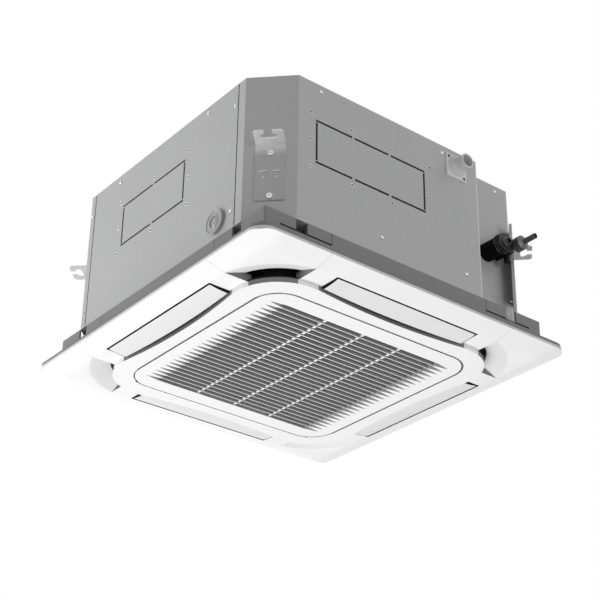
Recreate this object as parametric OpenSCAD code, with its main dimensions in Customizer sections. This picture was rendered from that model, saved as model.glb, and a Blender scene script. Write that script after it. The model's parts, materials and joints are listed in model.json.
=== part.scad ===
// Ceiling cassette air conditioner, compact four-way unit.
// +Z is up and the origin is the centre of the four hanger bolts, on the underside of the ears.
// Heights below are counted from the face plane, which is the flat part of the ceiling panel.

/* [Casing] */
// Width and depth of the casing
body_w = 570; // [560:1:576]
// Height of the casing
body_h = 261; // [255:1:300]
// Height of the casing's lower edge above the face plane
body_z = 66.5; // [64:0.5:72]
// Leg of each corner cut, along the wall
corner_cut = 58.5; // [50:0.5:64]
// Thickness of the casing sheet
sheet_t = 1.2; // [0.8:0.1:1.6]
// Depth of the pipe recess behind the right wall
recess_d = 33; // [29:1:35]
// Length of the pipe recess along the right wall
recess_l = 131.5; // [125:0.5:135]
// Depth of the frame round the bracket at the pipe corner
post_t = 4.9; // [4:0.1:6]
// Right seam of the front wall, from its corner
seam_in = 77; // [73:1:85]
// Left seam of the front wall, from its corner
seam_in_left = 72.5; // [71:0.5:81]
// Width of the seam gap between two sheets
seam_gap = 0.9; // [0.4:0.1:1]

/* [Branch duct blanks] */
// How much shorter the front blank is than half the wall
front_blank_in = 101; // [85:1:125]
// Middle of the front blank, along the wall
front_blank_x = -25.5; // [-32:0.5:-16]
// How much shorter the right blank is than half the wall
right_blank_in = 58.5; // [55:0.5:85]
// Middle of the right blank, from the near corner
right_blank_at = 206; // [199:0.5:215]
// Height of both blanks
blank_h = 80; // [60:1:90]
// Height of the blanks' lower edge above the casing's lower edge
blank_z = 113; // [100:1:120]
// Width of the cut round a blank
blank_cut = 3.8; // [2.4:0.1:4.6]
// Width of the bridges that hold a blank
blank_bridge = 5; // [3:0.5:8]
// Diameter of the pilot holes round a blank
pilot_d = 3.2; // [2:0.1:4]
// Distance from a blank to its pilot holes
pilot_off = 10.5; // [8:0.5:14]

/* [Hangers] */
// How much closer together the hanger bolts are than the walls
bolt_in = 25; // [20:0.5:26]
// Height of the ears' underside above the face plane
ear_z = 200; // [190:1:210]
// Width of a bracket
bracket_w = 46; // [42:1:50]
// Height of a bracket's plate
bracket_h = 100; // [90:1:110]
// Thickness of a bracket
bracket_t = 2; // [1.5:0.1:2.5]
// Reach of an ear from its corner of the casing
ear_l = 37.3; // [34.3:0.1:42.3]
// Width of the cross slot for a hanger bolt
notch_w = 27; // [22:0.5:30]
// Width of the slot's mouth
notch_mouth = 13; // [11:0.5:15]
// Depth of that notch behind the hanger bolt
notch_back = 6.2; // [5:0.1:7]

/* [Panel] */
// How far the ceiling panel stands out beyond the casing
panel_edge = 31; // [29:0.5:40]
// Width of the panel's sloped edge
slope_w = 35.6; // [34:0.2:37]
// Rise of the sloped edge to the rim
rim_z = 9.5; // [7:0.5:11]
// Height of the rim's side
rim_h = 4.5; // [3:0.5:6]
// Corner radius of the rim
rim_r = 28; // [20:1:34]
// Thickness of the moulding
skin_t = 2.5; // [2:0.1:2.8]
// Seam of a corner cover, from the casing's wall
cover_in = 101; // [97:0.5:103]
// Height of the ceiling gasket
gasket_h = 5.5; // [4:0.5:7]
// How far the mounting flange stands out beyond the casing
flange_edge = 15; // [11:0.5:18]
// Height of the mounting flange
flange_h = 10.5; // [8:0.5:12]
// How far the upstand stands out beyond the casing
upstand_edge = 0.5; // [0:0.1:1.5]
// Wall of the upstand and its flange
upstand_t = 3; // [2.5:0.1:4]

/* [Centre ring] */
// Distance of the centre ring's edge from the casing's wall
ring_edge = 42.5; // [41.5:0.1:44]
// Corner radius of the centre ring
ring_r = 82; // [78:1:88]
// Depth of the hollow in each side of the ring
scoop = 10.8; // [9:0.1:12]
// Distance of that hollow's end from the ring's corner
scoop_in = 92.5; // [88:0.5:95]
// How far the ring stands below the face plane
ring_drop = 8; // [7:0.1:9]
// Width of the ring's face round the grille
ring_face = 36.5; // [35.5:0.1:38.5]
// Corner radius of the grille
grille_r = 47; // [40:1:54]
// Seam between grille and ring
grille_gap = 2; // [1.7:0.1:2.3]

/* [Grille] */
// Number of air slots
slot_n = 27; // [23:2:27]
// Distance of the outermost slots from the grille's edge
slot_edge = 30.5; // [28:0.1:36]
// Width of a slat at its lower edge
slat_w = 2.2; // [1.8:0.1:3]
// Distance of a slot's open part from the grille's edge
slot_end = 49; // [46:0.5:56]
// Length of a slot's pointed end
tip_l = 27; // [20:1:28]
// Height of the slats
slat_h = 12; // [10:0.5:12.5]
// How far the top of a slat leans over
slat_lean = 4; // [2:0.1:5]
// Distance between the cross ribs
rib_pitch = 76.5; // [70:0.5:80]
// Width of a cross rib
rib_w = 4.5; // [3:0.5:6]

/* [Louvers] */
// Distance of a louver's end from the cover's seam
louver_end = 42; // [41:0.5:45]
// Distance of a louver's outer edge from the sloped edge
louver_edge = 2.4; // [1.4:0.1:4.4]
// How far a louver's inner edge lies behind the ring's edge
louver_lap = 4.7; // [3.5:0.1:5.5]
// How far the inner edge bows in
louver_bow = 6.2; // [5:0.1:7]
// Drop of a louver's inner edge below the face plane
louver_drop = 3.4; // [2.5:0.1:4]
// Thickness of a louver
louver_t = 3; // [2.5:0.1:3.2]
// Distance of a louver's axis from its inner edge
louver_arm = 14.7; // [14.2:0.1:16.2]
// Height of a louver's axis above the face plane
louver_axis_z = 4.5; // [4.3:0.1:5]
// Diameter of a louver's pin
louver_pin_d = 3.6; // [3:0.1:3.7]

/* [Corner outlets] */
// Radius of a corner outlet's outer edge
outlet_r = 130; // [126:1:132]
// Middle of that radius, from the casing's walls
outlet_in = 131; // [129:0.5:133]
// Run of the sloped outlet surface
outlet_run = 34; // [32:0.5:35]
// Rise of the sloped outlet surface
outlet_rise = 12.6; // [10:0.1:13.4]

/* [Air path] */
// Distance of the bell mouth's flare from the grille's edge
flare_in = 20; // [18:1:24]
// Run of that flare, to the throat
flare_run = 44; // [40:1:50]
// Distance of the fan's edge from the flare's edge
fan_in = 8; // [4:1:14]
// Height of the fan
fan_h = 132; // [120:1:140]
// Number of fan blades
blade_n = 7; // [5:1:9]
// Height of the drain pan
pan_h = 30; // [26:1:34]
// Distance of the coil from the casing's walls
coil_edge = 53; // [51:0.5:56]
// Depth of the coil
coil_t = 27; // [22:1:30]
// Height of the coil
coil_h = 165; // [150:1:176]
// Radius of the fan motor
motor_r = 54; // [48:1:56]
// Height of the fan motor
motor_h = 62; // [50:1:66]

/* [Pipes] */
// Diameter of the gas pipe
gas_d = 12.7; // [9.5:0.1:15.9]
// Diameter of the liquid pipe
liquid_d = 9.5; // [6:0.1:10]
// Gas pipe, along the recess from its start
gas_y = 48.2; // [46:0.1:52]
// Gas pipe, above the casing's lower edge
gas_z = 116.3; // [110:0.1:122]
// Liquid pipe, along the recess from its start
liquid_y = 72.5; // [70:0.1:74]
// Liquid pipe, above the casing's lower edge
liquid_z = 118.3; // [116:0.1:126]
// Outer diameter of the drain spigot
drain_d = 26; // [24:0.5:30]
// Reach of the drain spigot from the wall
drain_l = 30; // [24:1:40]
// Drain spigot, from the recess along the right wall
drain_in = 49; // [42:0.5:53]
// Drain spigot, below the casing's upper edge
drain_down = 33; // [29:0.5:39]

/* [Hidden] */
$fn = 64;
fine = 32;
side_angles = [0, 90, 180, 270];
over = 1;                       // overrun of every cut
run_gap = 0.1;                  // running gap of a pin in its bore
seat_gap = 0.3;                 // gap of a part in its seat
hb = body_w / 2;
panel_w = body_w + 2 * panel_edge;
hp = panel_w / 2;
flat_w = panel_w - 2 * slope_w;
flange_w = body_w + 2 * flange_edge;
upstand_w = body_w + 2 * upstand_edge;
ring_w = body_w - 2 * ring_edge;
grille_w = ring_w - 2 * ring_face;
scoop_l = ring_w - 2 * scoop_in;
recess_x = hb - recess_d;
recess_y = hb - recess_l;
seam_x = hb - seam_in;
seam_left = hb - seam_in_left;
front_blank_l = hb - front_blank_in;
right_blank_l = hb - right_blank_in;
right_blank_y = right_blank_at - hb;
cover_seam = hb - cover_in;
bolt_pitch = body_w - bolt_in;
slot_pitch = (grille_w - 2 * slot_edge) / slot_n;
slot_w = slot_pitch - slat_w;
slot_l = grille_w - 2 * slot_end;
louver_l = 2 * (cover_seam - louver_end);
louver_out = flat_w / 2 - louver_edge;
louver_in = ring_w / 2 - louver_lap;
louver_axis = louver_in + louver_arm;
outlet_c = hb - outlet_in;
flare_r = grille_w / 2 - flare_in;
throat_r = flare_r - flare_run;
fan_r = flare_r - fan_in;
coil_w = body_w - 2 * coil_edge;
drain_y = recess_y - drain_in;
drain_z = body_h - drain_down;
cut_d = (body_w - corner_cut) / sqrt(2);
ear_reach = cut_d + ear_l;
body_top = body_z + body_h;
rim_top = rim_z + rim_h;
gasket_top = rim_top + gasket_h;
flange_top = gasket_top + flange_h;
post_over = 43;
post_h = ear_z + post_over - body_z;

// Upstand: notches beside the corner blocks and the shadow gap under them
notch_in = 79;
notch_l = 22;
notch_from = hb - notch_in;
notch_to = notch_from + notch_l;
block_gap = 2.6;
block_z = 45;
block_in = 125;
block_from = hb - block_in;
block_l = 98;
block_end = block_from + block_l;
block_groove = 1.6;

// Louver bearings and openings
louver_gap = 2.6;
opening_l = louver_l + 2 * louver_gap;
opening_out = louver_out + louver_gap;
collar_t = 2;
collar_h = 13;
disc_t = 4;
disc_seat_share = 0.3;
motor_body_r = 9.6;
motor_body_l = 15;
motor_off = 8.8;
louver_sag = 1.1;

// Grille details
plate_t = 2.6;
end_block_over = 8;
end_block_l = tip_l + end_block_over;
lip_h = 7;
lip_t = 2;
lip_in = 10;
groove_h = 6.4;
groove_tip_share = 0.08;
groove_run_share = 0.4;
rib_sunk = 2.4;
hinge_in = 5.5;
hinge_rise = 2.4;
hinge_pin_r = 0.8;
hinge_eye_r = 1.5;
hinge_eye_l = 8;
hinge_at_share = 0.36;
pocket_gap = 0.4;
knuckle_l = 5;
post_w = 7;
catch_off = 88;
catch_y = grille_w / 2 - catch_off;
catch_in = 12;
catch_h = 13;
filter_t = 4;
filter_in = 24;
filter_bar = 6;
mesh_t = 0.8;

ring_in = grille_w / 2 + grille_gap;
scoop_R = (pow(scoop_l / 2, 2) + pow(scoop, 2)) / (2 * scoop);
bow_R = (pow(louver_l / 2, 2) + pow(louver_bow, 2)) / (2 * louver_bow);
frame_in = ring_in + 4.2 * grille_gap;
seal_t = 5;

// Everything stands in the frame of the hanger bolts
module seat() { translate([0, 0, -ear_z]) children(); }
module sides() { for (a = side_angles) rotate([0, 0, a]) children(); }
// Places a child that faces +X at the front right corner on each corner in turn
module corner(k) { rotate([0, 0, k * 90 - 45]) children(); }

module rsq(h, r) {
    square([2 * h, 2 * (h - r)], center = true);
    square([2 * (h - r), 2 * h], center = true);
    for (x = [-1, 1], y = [-1, 1]) translate([x * (h - r), y * (h - r)]) circle(r);
}
module slab(z, t) { translate([0, 0, z]) linear_extrude(t) children(); }

// ---- casing ----
module octagon(d) {
    h = hb - d;
    c = corner_cut - (2 - sqrt(2)) * d;
    polygon([[h, c - h], [h, h - c], [h - c, h], [c - h, h], [-h, h - c],
        [-h, c - h], [c - h, -h], [h - c, -h]]);
}
module recess(d) { translate([recess_x - d, recess_y - d]) square(body_w); }
module outline(d) {
    difference() { octagon(d); recess(d); }
}
module wall2d() { difference() { outline(0); outline(sheet_t); } }
module wall_cut() { slab(body_z, body_h - sheet_t) intersection() { wall2d(); children(); } }
module left_half(x) { translate([x - body_w * 2, -body_w]) square(2 * body_w); }

module top_plate() color([0.66, 0.66, 0.66]) seat() {
    slab(body_top - sheet_t, sheet_t) outline(0);
    slab(body_top - 3 * sheet_t, 2 * sheet_t) difference() {
        circle(motor_r * 1.7);
        circle(motor_r * 1.6);
    }
}

module blank_cuts(l, n) {
    for (s = [0, blank_h - blank_cut], k = [0:n - 1]) let (w = l / n)
        translate([k * w - l / 2 + (k > 0 ? blank_bridge / 2 : 0), s])
            square([w - (k > 0 ? blank_bridge / 2 : 0) - (k < n - 1 ? blank_bridge / 2 : 0),
                blank_cut]);
    for (s = [-1, 1]) translate([s * (l - blank_cut) / 2 - blank_cut / 2, blank_bridge])
        square([blank_cut, blank_h - 2 * blank_bridge]);
}
module pilots(l, n) {
    for (k = [0:n], s = [-pilot_off, blank_h + pilot_off])
        translate([(k / n - 1 / 2) * (l + 2 * pilot_off), s]) circle(d = pilot_d);
    for (s = [-1, 1])
        translate([s * (l / 2 + pilot_off), blank_h / 2]) circle(d = pilot_d);
}

module front_panel() color([0.74, 0.74, 0.74]) seat() difference() {
    wall_cut() translate([-seam_left, -hb - over])
        square([seam_left + seam_x, sheet_t + 2 * over]);
    translate([front_blank_x, 0, body_z + blank_z]) rotate([90, 0, 0])
        linear_extrude(body_w) { blank_cuts(front_blank_l, 2); pilots(front_blank_l, 2); }
    translate([gland_x, -hb - over, body_z + gland_z]) rotate([-90, 0, 0])
        cylinder(r = gland_r, h = sheet_t + 2 * over);
}

module right_panel() color([0.6, 0.6, 0.6]) seat() difference() {
    wall_cut() translate([seam_x + seam_gap, -body_w]) square([body_w, body_w + recess_y]);
    translate([0, right_blank_y, body_z + blank_z]) rotate([90, 0, 90])
        linear_extrude(body_w) { blank_cuts(right_blank_l, 3); pilots(right_blank_l, 3); }
    translate([hb - sheet_t - over, drain_y, body_z + drain_z]) rotate([0, 90, 0])
        cylinder(r = drain_d / 2 + seat_gap, h = sheet_t + 2 * over);
    bracket_holes(0);
}

module left_panel() color([0.7, 0.7, 0.7]) seat() difference() {
    wall_cut() difference() {
        left_half(-seam_left - seam_gap);
        translate([-body_w, hb - corner_cut - seam_gap]) square(body_w);
    }
    bracket_holes(3);
}

module back_panel() color([0.7, 0.7, 0.7]) seat() difference() {
    wall_cut() difference() {
        translate([-body_w, hb - corner_cut]) square([body_w * 3, body_w]);
        translate([hb - corner_cut - post_t * 2, 0]) square(body_w);
    }
    bracket_holes(2);
}

module pipe_panel() color([0.62, 0.62, 0.62]) seat() difference() {
    wall_cut() intersection() {
        translate([0, recess_y + seam_gap]) square(body_w);
        translate([hb - corner_cut - post_t * 2 + seam_gap, 0]) square(body_w);
    }
    pipe_hole(gas_y, gas_z, gas_foam_r + seat_gap);
    pipe_hole(liquid_y, liquid_z, liquid_foam_r + seat_gap);
    bracket_holes(1);
}

// Frame round the hanger bracket at the pipe corner
post_rail = 4;
module pipe_post() color([0.6, 0.6, 0.6]) seat() corner(1) difference() {
    translate([cut_d, -bracket_w / 2 - post_rail, body_z])
        cube([post_t, bracket_w + 2 * post_rail, post_h]);
    translate([cut_d - over, -bracket_w / 2 - seat_gap, body_z - over])
        cube([post_t + 2 * over, bracket_w + 2 * seat_gap,
            ear_z + bracket_t + seat_gap - body_z + over]);
}

// ---- hanger brackets ----
bolt_d = bolt_pitch / sqrt(2);
notch_at = bolt_d - notch_back;
notch_r = 5.5;
bracket_low = ear_z - bracket_h;
screw_r = 2;
screw_head_r = 4.6;
screw_head_h = 2.2;
screw_l = 7;
screw_low = 7;
screw_high = 17;
slit_w = 14;
slit_h = 2.4;
slit_off = 3;
slit_z_share = 0.5;
bend_r = 5;

module bracket_holes(k) {
    corner(k) for (z = [bracket_low + screw_low, ear_z - screw_high])
        translate([cut_d - screw_l - over, 0, z]) rotate([0, 90, 0])
            cylinder(r = screw_r + seat_gap, h = screw_l + 2 * over, $fn = fine);
}

// Side view of a bracket: plate, rounded bend and ear
module bracket_side() {
    x0 = cut_d;
    z1 = ear_z + bracket_t;
    translate([x0, bracket_low]) square([bracket_t, bracket_h - bend_r]);
    translate([x0 + bend_r + bracket_t, ear_z]) square([ear_reach - x0 - bend_r - bracket_t,
        bracket_t]);
    intersection() {
        translate([x0, ear_z - bend_r]) square(bend_r + bracket_t);
        translate([x0 + bend_r + bracket_t, ear_z - bend_r]) difference() {
            circle(bend_r + bracket_t);
            circle(bend_r);
        }
    }
}
module bracket(k) color([0.72, 0.72, 0.72]) seat() corner(k) difference() {
    rotate([90, 0, 0]) translate([0, 0, -bracket_w / 2]) linear_extrude(bracket_w)
        bracket_side();
    slab(ear_z - over, bracket_t + 2 * over) {
        for (s = [-1, 1]) translate([notch_at + notch_r, s * (notch_w / 2 - notch_r)])
            circle(notch_r);
        translate([notch_at, notch_r - notch_w / 2])
            square([2 * notch_r, notch_w - 2 * notch_r]);
        translate([notch_at + notch_r, -notch_mouth / 2]) square([ear_reach, notch_mouth]);
        for (s = [-1, 1]) translate([ear_reach, s * bracket_w / 2]) rotate([0, 0, 45])
            square(notch_r, center = true);
    }
    for (z = [bracket_low + screw_low, ear_z - screw_high])
        translate([cut_d - over, 0, z]) rotate([0, 90, 0])
            cylinder(r = screw_r + run_gap, h = bracket_t + 2 * over, $fn = fine);
    for (s = [-1, 1]) translate([cut_d - over, s * (slit_off + slit_w / 2) - slit_w / 2,
        bracket_low + bracket_h * slit_z_share]) cube([bracket_t + 2 * over, slit_w, slit_h]);
}
module bracket_screws() color([0.8, 0.8, 0.8]) seat() for (k = [0:3]) corner(k)
    for (z = [bracket_low + screw_low, ear_z - screw_high])
        translate([cut_d + bracket_t, 0, z]) rotate([0, 90, 0]) {
            difference() {
                cylinder(r = screw_head_r, h = screw_head_h, $fn = fine);
                translate([0, 0, screw_head_h / 2]) for (a = [0, 90]) rotate([0, 0, a])
                    translate([-screw_head_r / 2, -screw_r / 4, 0])
                        cube([screw_head_r, screw_r / 2, screw_head_h]);
            }
            translate([0, 0, -screw_l]) cylinder(r = screw_r, h = screw_l + screw_head_h / 4,
                $fn = fine);
        }

// ---- openings and fittings in the walls ----
gland_in = 123;
gland_x = hb - gland_in;
gland_z = 28.5;
gland_r = 18;
gland_lip = 2.5;
gland_out = 4;
gland_bore_share = 0.55;
module gland() color([0.55, 0.55, 0.55]) seat()
    translate([gland_x, -hb, body_z + gland_z]) rotate([90, 0, 0]) difference() {
        union() {
            cylinder(r = gland_r + gland_lip, h = gland_out);
            translate([0, 0, -sheet_t])
                cylinder(r = gland_r - seat_gap, h = sheet_t + gland_out / 2);
        }
        translate([0, 0, gland_out / 2])
            cylinder(r = gland_r * gland_bore_share, h = gland_out);
    }

drain_flange = 44;
drain_flange_t = 3;
drain_wall = 2.5;
drain_root_share = 1.35;
module drain_port() color([0.8, 0.8, 0.78]) seat()
    translate([hb, drain_y, body_z + drain_z]) rotate([0, 90, 0]) difference() {
        union() {
            translate([0, 0, drain_flange_t / 2])
                cube([drain_flange, drain_flange, drain_flange_t], center = true);
            cylinder(d = drain_d, h = drain_l);
            rotate_extrude() polygon([[0, drain_flange_t / 2],
                [drain_d / 2 * drain_root_share, drain_flange_t / 2],
                [drain_d / 2 * drain_root_share, drain_flange_t * 2],
                [drain_d / 2, drain_l / 2], [0, drain_l / 2]]);
            translate([0, 0, -drain_l / 2]) cylinder(d = drain_d, h = drain_l / 2 + over);
        }
        translate([0, 0, -drain_l]) cylinder(r = drain_d / 2 - drain_wall, h = 3 * drain_l);
    }

// Refrigerant connections: foam sleeve, flare nut and pipe, along +X out of the recess
gas_foam_r = 16;
liquid_foam_r = 7.5;
gas_foam_l = 35;
liquid_foam_l = 18;
gas_nut_r = 18.5;
liquid_nut_r = 9.5;
gas_nut_l = 12;
liquid_nut_l = 16;
liquid_bare_l = 13.5;
gas_pipe_l = 54;
liquid_pipe_l = 90;
gas_union_r = 8;
gas_union_l = 2;
liquid_union_r = 12.5;
liquid_union_l = 14;
pipe_wall = 1;
pipe_in = 30;
port_r = 6;
port_l = 22;
port_share = 0.4;
module at_pipe(y, z) {
    translate([recess_x, recess_y + y, body_z + z]) rotate([0, 90, 0]) children();
}
module pipe_hole(y, z, r) {
    at_pipe(y, z) translate([0, 0, -sheet_t - over]) cylinder(r = r, h = sheet_t + 2 * over);
}
module pipe(d, l, ur, ul, at) difference() {
    union() {
        translate([0, 0, -pipe_in]) cylinder(d = d, h = pipe_in + l);
        translate([0, 0, at]) cylinder(r = ur, h = ul);
        translate([0, 0, at + ul]) cylinder(r1 = ur, r2 = d / 2, h = ul / 4);
    }
    translate([0, 0, -pipe_in - over]) cylinder(r = d / 2 - pipe_wall, h = pipe_in + l + 2 * over);
}
module gas_pipe() color([0.45, 0.45, 0.46]) seat() at_pipe(gas_y, gas_z)
    pipe(gas_d, gas_pipe_l, gas_union_r, gas_union_l, gas_foam_l + gas_nut_l);
module liquid_pipe() color([0.45, 0.45, 0.46]) seat() at_pipe(liquid_y, liquid_z)
    pipe(liquid_d, liquid_pipe_l, liquid_union_r, liquid_union_l,
        liquid_foam_l + liquid_nut_l + liquid_bare_l);
module nut(r, l, d) difference() {
    intersection() {
        cylinder(r = r, h = l, $fn = 6);
        rotate_extrude() polygon([[0, 0], [r * 0.9, 0], [r, r * 0.12], [r, l - r * 0.12],
            [r * 0.9, l], [0, l]]);
    }
    translate([0, 0, -over]) cylinder(d = d + 2 * run_gap, h = l + 2 * over);
}
module gas_nut() color([0.14, 0.14, 0.14]) seat() at_pipe(gas_y, gas_z)
    translate([0, 0, gas_foam_l]) nut(gas_nut_r, gas_nut_l, gas_d);
// The smaller nut carries a service port that points down
module liquid_nut() color([0.14, 0.14, 0.14]) seat() at_pipe(liquid_y, liquid_z)
    translate([0, 0, liquid_foam_l]) {
        nut(liquid_nut_r, liquid_nut_l, liquid_d);
        translate([liquid_nut_r / 2, 0, liquid_nut_l * port_share]) rotate([0, 90, 0])
            cylinder(r = port_r, h = port_l - liquid_nut_r / 2);
    }
module foam_tube(r, l, d) difference() {
    translate([0, 0, -sheet_t * 4]) cylinder(r = r, h = l + sheet_t * 4);
    translate([0, 0, -l]) cylinder(d = d + 2 * run_gap, h = 3 * l);
}
module pipe_foam() color([0.1, 0.1, 0.1]) seat() {
    at_pipe(gas_y, gas_z) foam_tube(gas_foam_r, gas_foam_l, gas_d);
    at_pipe(liquid_y, liquid_z) foam_tube(liquid_foam_r, liquid_foam_l, liquid_d);
}

// ---- inside the casing ----
pan_floor = 8;
pan_duct_off = 6;
pan_duct_wall = 17;
pan_duct_end = 24;
pan_duct_in = coil_w / 2 + pan_duct_off;
pan_duct_out = hb - pan_duct_wall;
pan_duct_l = louver_l - 2 * pan_duct_end;
pan_trough_w = 12;
pan_gap = 0.3;
module pan_ducts(d) {
    sides() translate([pan_duct_in - d, -pan_duct_l / 2 - d])
        square([pan_duct_out - pan_duct_in + 2 * d, pan_duct_l + 2 * d]);
}
module drain_pan() color([0.9, 0.9, 0.88]) seat() difference() {
    slab(body_z, pan_h) difference() {
        outline(sheet_t + pan_gap);
        circle(flare_r);
        pan_ducts(0);
    }
    slab(body_z + pan_floor, pan_h) difference() {
        rsq(coil_w / 2 + coil_t / 9, grille_r);
        circle(flare_r + pan_trough_w);
    }
}

module corner_gap2d() { translate([coil_gap, coil_gap]) square(body_w); }
coil_open = 135;
coil_gap = hb - coil_open;
coil_r = 60;
coil_plate_t = 1.5;
coil_z = body_z + pan_floor;
module coil2d() difference() {
    rsq(coil_w / 2, coil_r);
    rsq(coil_w / 2 - coil_t, coil_r - coil_t);
}
module coil_fins() color([0.75, 0.77, 0.8]) seat() slab(coil_z + coil_plate_t, coil_h)
    difference() { coil2d(); corner_gap2d(); }
module coil_plates() color([0.6, 0.6, 0.6]) seat() {
    h = coil_h + 2 * coil_plate_t;
    translate([coil_gap, coil_w / 2 - coil_t, coil_z]) cube([coil_plate_t, coil_t, h]);
    translate([coil_w / 2 - coil_t, coil_gap, coil_z]) cube([coil_t, coil_plate_t, h]);
}
header_r = 6;
header_off = 10;
module coil_headers() color([0.72, 0.45, 0.3]) seat() {
    translate([coil_gap + header_off, coil_w / 2 - coil_t / 2, coil_z])
        cylinder(r = header_r, h = coil_h);
    translate([coil_w / 2 - coil_t / 2, coil_gap + header_off, coil_z])
        cylinder(r = header_r, h = coil_h);
    for (f = [0.15:0.14:0.9]) translate([coil_gap + coil_plate_t, coil_w / 2 - coil_t / 2,
        coil_z + coil_h * f]) rotate([0, 90, 0]) cylinder(r = header_r / 2, h = header_off);
    for (f = [0.15:0.14:0.9]) translate([coil_w / 2 - coil_t / 2, coil_gap + coil_plate_t,
        coil_z + coil_h * f]) rotate([-90, 0, 0]) cylinder(r = header_r / 2, h = header_off);
}

pump_in = 81;
pump_at = hb - pump_in;
pump_r = 22;
pump_h = 62;
pump_foot = 6;
hose_r = 8;
hose_up = 4;
module drain_pump() color([0.85, 0.85, 0.82]) seat()
    translate([pump_at, pump_at, body_z + pan_floor]) {
        cylinder(r = pump_r * 0.6, h = pump_foot);
        translate([0, 0, pump_foot]) cylinder(r = pump_r, h = pump_h);
        translate([0, 0, pump_foot + pump_h]) cylinder(r = pump_r * 0.6, h = pump_h / 4);
        translate([0, 0, pump_foot + pump_h * 5 / 4]) cylinder(r = hose_r / 2, h = hose_up);
    }
hose_z0 = body_z + pan_floor + pump_foot + pump_h * 5 / 4;
hose_z1 = body_z + drain_z;
elbow_ratio = 1.15;
module drain_hose() color([0.3, 0.3, 0.3]) seat() difference() {
    union() {
        translate([pump_at, pump_at, hose_z0]) cylinder(r = hose_r, h = hose_z1 - hose_z0);
        translate([pump_at, drain_y, hose_z1]) rotate([-90, 0, 0])
            cylinder(r = hose_r, h = pump_at - drain_y);
        translate([pump_at, drain_y, hose_z1]) rotate([0, 90, 0])
            cylinder(r = hose_r, h = hb - drain_l / 2 - seat_gap - pump_at);
        for (y = [pump_at, drain_y]) translate([pump_at, y, hose_z1])
            sphere(hose_r * elbow_ratio);
    }
    translate([pump_at, pump_at, hose_z0 - over])
        cylinder(r = hose_r / 2 + run_gap, h = hose_up + 2 * over);
}

float_in_x = 115;
float_in_y = 80;
float_x = hb - float_in_x;
float_y = hb - float_in_y;
float_r = 9;
float_h = 14;
float_travel = 12;
float_bore = 2.2;
float_foot = 3;
float_z = body_z + pan_floor + float_foot;
module float_stem() color([0.3, 0.3, 0.3]) seat() translate([float_x, float_y, float_z]) {
    translate([0, 0, -float_foot]) cylinder(r = float_r * 0.8, h = float_foot - seat_gap);
    translate([0, 0, -float_foot]) cylinder(r = float_bore,
        h = float_foot + float_h * 4 / 3 + float_travel);
    translate([0, 0, float_h + float_travel + seat_gap])
        cylinder(r = float_r / 2, h = float_h / 3);
}
module float_ball() color([0.92, 0.92, 0.92]) seat() translate([float_x, float_y, float_z])
    difference() {
        cylinder(r = float_r, h = float_h);
        translate([0, 0, -over]) cylinder(r = float_bore + run_gap, h = float_h + 2 * over);
    }

// ---- fan ----
fan_lift = 3;
fan_z = body_z + pan_h + fan_lift;
fan_wall = 2.5;
eye_lap = 6;
eye_r = throat_r + eye_lap;
hub_r = 88;
hub_low_r = 54;
hub_drop = 62;
boss_r = 11;
boss_h = 16;
shaft_r = 4;
motor_gap = 12;
motor_z = fan_z + fan_h - hub_drop + motor_gap + fan_wall;
feet_r = 9;
feet_at = motor_r * 1.25;
module turbo_fan() color([0.9, 0.9, 0.92]) seat() translate([0, 0, fan_z]) difference() {
    union() {
        // back plate and hub cone
        rotate_extrude() polygon([[shaft_r + run_gap, fan_h - hub_drop],
            [hub_low_r, fan_h - hub_drop], [hub_r, fan_h - fan_wall], [fan_r, fan_h - fan_wall],
            [fan_r, fan_h], [hub_r - fan_wall, fan_h], [hub_low_r - fan_wall,
            fan_h - hub_drop + fan_wall], [shaft_r + run_gap, fan_h - hub_drop + fan_wall]]);
        cylinder_ring(shaft_r + run_gap, boss_r, fan_h - hub_drop - boss_h, boss_h);
        // backward-curved blades
        for (k = [0:blade_n - 1]) rotate([0, 0, k * 360 / blade_n]) intersection() {
            translate([0, 0, fan_h * 0.2]) linear_extrude(fan_h * 0.79) intersection() {
                translate([fan_r * 0.55, fan_r * 0.30]) difference() {
                    circle(fan_r * 0.5);
                    circle(fan_r * 0.5 - fan_wall);
                }
                translate([0, -fan_r]) square([fan_r * 2, fan_r]);
                difference() { circle(fan_r - fan_wall / 2); circle(fan_r * 0.62); }
            }
            rotate_extrude() polygon([[fan_r * 0.5, fan_h * 0.14 + fan_wall],
                [eye_r, fan_h * 0.14 + fan_wall], [fan_r, fan_h * 0.28 + fan_wall],
                [fan_r, fan_h - fan_wall / 2], [fan_r * 0.5, fan_h - fan_wall / 2]]);
        }
    }
}
// Shroud with the inlet eye, under the blades
module fan_shroud() color([0.9, 0.9, 0.92]) seat() translate([0, 0, fan_z])
    rotate_extrude() polygon([[eye_r, 0], [eye_r + fan_wall, 0],
        [eye_r + fan_wall, fan_h * 0.14], [fan_r, fan_h * 0.28],
        [fan_r, fan_h * 0.28 + fan_wall], [eye_r, fan_h * 0.14 + fan_wall]]);
module cylinder_ring(ri, ro, z, h) translate([0, 0, z]) difference() {
    cylinder(r = ro, h = h);
    translate([0, 0, -over]) cylinder(r = ri, h = h + 2 * over);
}
shaft_z = fan_z + fan_h - hub_drop - boss_h;
module fan_shaft() color([0.6, 0.6, 0.62]) seat() {
    translate([0, 0, shaft_z]) cylinder(r = shaft_r, h = motor_z + motor_h / 2 - shaft_z);
    translate([0, 0, shaft_z - boss_r * 0.7]) cylinder(r = boss_r * 0.8, h = boss_r * 0.7, $fn = 6);
}
module fan_motor() color([0.35, 0.35, 0.37]) seat() difference() {
    translate([0, 0, motor_z]) {
        cylinder(r = motor_r, h = motor_h);
        translate([0, 0, motor_h * 0.7]) cylinder(r = motor_r * 1.25 + feet_r, h = fan_wall);
    }
    translate([0, 0, motor_z - over]) cylinder(r = shaft_r + run_gap, h = motor_h / 2 + 2 * over);
}
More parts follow.
